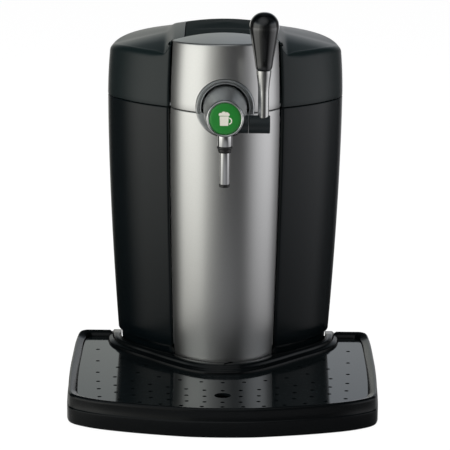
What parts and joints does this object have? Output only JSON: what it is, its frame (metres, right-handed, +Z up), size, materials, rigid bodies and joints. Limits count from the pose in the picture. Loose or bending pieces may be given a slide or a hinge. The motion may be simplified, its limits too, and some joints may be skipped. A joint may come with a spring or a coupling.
{
  "type": "mini keg beer dispenser",
  "caption": "Cooled housing for a small party keg, with a hinged lid, a lever tap on a silver column and a removable drip tray.",
  "frame": {"origin": "on the surface it stands on, at the middle of its overall length and width", "axes": "+Z up, -Y to the front where the tap is, +X to the right as seen by someone in front of it"},
  "size_m": [0.35, 0.4757, 0.4446],
  "materials": {
    "charcoal_plastic": "satin moulded, charcoal with a faint violet cast",
    "lid_plastic": "satin moulded, charcoal",
    "silver_lacquer": "satin silver lacquer",
    "black_gloss": "polished black",
    "black_plastic": "moulded black",
    "grey_plastic": "moulded grey",
    "chrome": "polished",
    "satin_steel": "satin",
    "rubber": "moulded",
    "aluminium": "drawn",
    "foam": "expanded foam",
    "circuit_board": "green solder mask",
    "badge_green": "glossy domed print",
    "clear_tube": "clear silicone",
    "dark_satin": "dark satin lacquer"
  },
  "bodies": {
    "root": {"base_pan": "black_plastic", "foot_front_left": "rubber", "foot_front_right": "rubber", "foot_rear_left": "rubber", "foot_rear_right": "rubber", "left_side_cover": "charcoal_plastic", "right_side_cover": "charcoal_plastic", "rear_cover": "charcoal_plastic", "front_column": "silver_lacquer", "tap_cradle": "silver_lacquer", "chamber_deck": "charcoal_plastic", "cooling_chamber": "aluminium", "insulation_jacket": "foam", "chamber_stand": "black_plastic", "cold_block": "aluminium", "peltier_module": "grey_plastic", "heat_sink": "aluminium", "fan_frame": "black_plastic", "power_board": "circuit_board", "transformer": "satin_steel", "control_board": "circuit_board", "cord_gland": "rubber", "switch_housing": "black_plastic", "latch_striker": "satin_steel", "hinge_bracket_left": "black_plastic", "hinge_bracket_right": "black_plastic", "hinge_pin": "satin_steel", "tap_head": "satin_steel", "badge_bezel": "chrome", "tap_badge": "badge_green", "spout_collar": "chrome", "nozzle_seal": "rubber", "spout_tube": "chrome", "spout_tip": "rubber", "pivot_block": "dark_satin", "tube_coupling": "grey_plastic", "beer_tube": "clear_tube", "pinch_anvil": "grey_plastic"},
    "lid": {"lid_shell": "lid_plastic", "lid_front_panel": "silver_lacquer", "tap_ring": "silver_lacquer", "lid_liner": "grey_plastic", "lid_gasket": "rubber", "button_carrier": "black_plastic", "button_spring": "satin_steel", "latch_guide": "grey_plastic", "lid_hinge_leaf_left": "black_plastic", "lid_hinge_leaf_right": "black_plastic"},
    "release_button": {"lid_button": "lid_plastic"},
    "latch": {"latch_hook": "grey_plastic"},
    "lever": {"lever_shaft": "satin_steel", "lever_barrel": "dark_satin", "lever_rod": "satin_steel", "lever_knob": "black_gloss"},
    "pinch": {"pinch_slider": "grey_plastic"},
    "fan": {"fan_rotor": "black_plastic"},
    "rocker": {"switch_rocker": "black_plastic"},
    "tray": {"drip_tray": "black_gloss"},
    "grid": {"drip_grid": "black_gloss"}
  },
  "joints": [
    {"name": "lid_hinge", "type": "hinge", "parent": "root", "child": "lid", "pos_m": [0, 0.2334, 0.3245], "axis": [-1, 0, 0], "range_deg": [0, 78]},
    {"name": "button_press", "type": "slide", "parent": "lid", "child": "release_button", "axis": [0, 0, -1], "range_m": [0, 0.003], "stiffness_N_per_m": 600, "springref_m": -0.002, "deforming": ["button_spring"]},
    {"name": "latch_slide", "type": "slide", "parent": "lid", "child": "latch", "axis": [0, 1, 0], "range_m": [0, 0.002]},
    {"name": "tap_lever", "type": "hinge", "parent": "root", "child": "lever", "pos_m": [0, -0.112, 0.3204], "axis": [1, 0, 0], "range_deg": [0, 45]},
    {"name": "pinch_slide", "type": "slide", "parent": "root", "child": "pinch", "axis": [0, 1, 0], "range_m": [0, 0.0036]},
    {"name": "fan_spin", "type": "hinge", "parent": "root", "child": "fan", "pos_m": [0, 0.1925, 0.17], "axis": [0, 1, 0], "continuous": true},
    {"name": "rocker_tilt", "type": "hinge", "parent": "root", "child": "rocker", "pos_m": [0.042, 0.2167, 0.052], "axis": [1, 0, 0], "range_deg": [0, 16]},
    {"name": "tray_slide", "type": "slide", "parent": "root", "child": "tray", "axis": [0, -1, 0], "range_m": [0, 0.16]},
    {"name": "grid_lift", "type": "slide", "parent": "tray", "child": "grid", "axis": [0, 0, 1], "range_m": [0, 0.03]}
  ],
  "couplings": [
    {"joint": "pinch_slide", "follows": "tap_lever", "m_per_rad": 0.0045},
    {"joint": "latch_slide", "follows": "button_press", "ratio": 0.66}
  ]
}
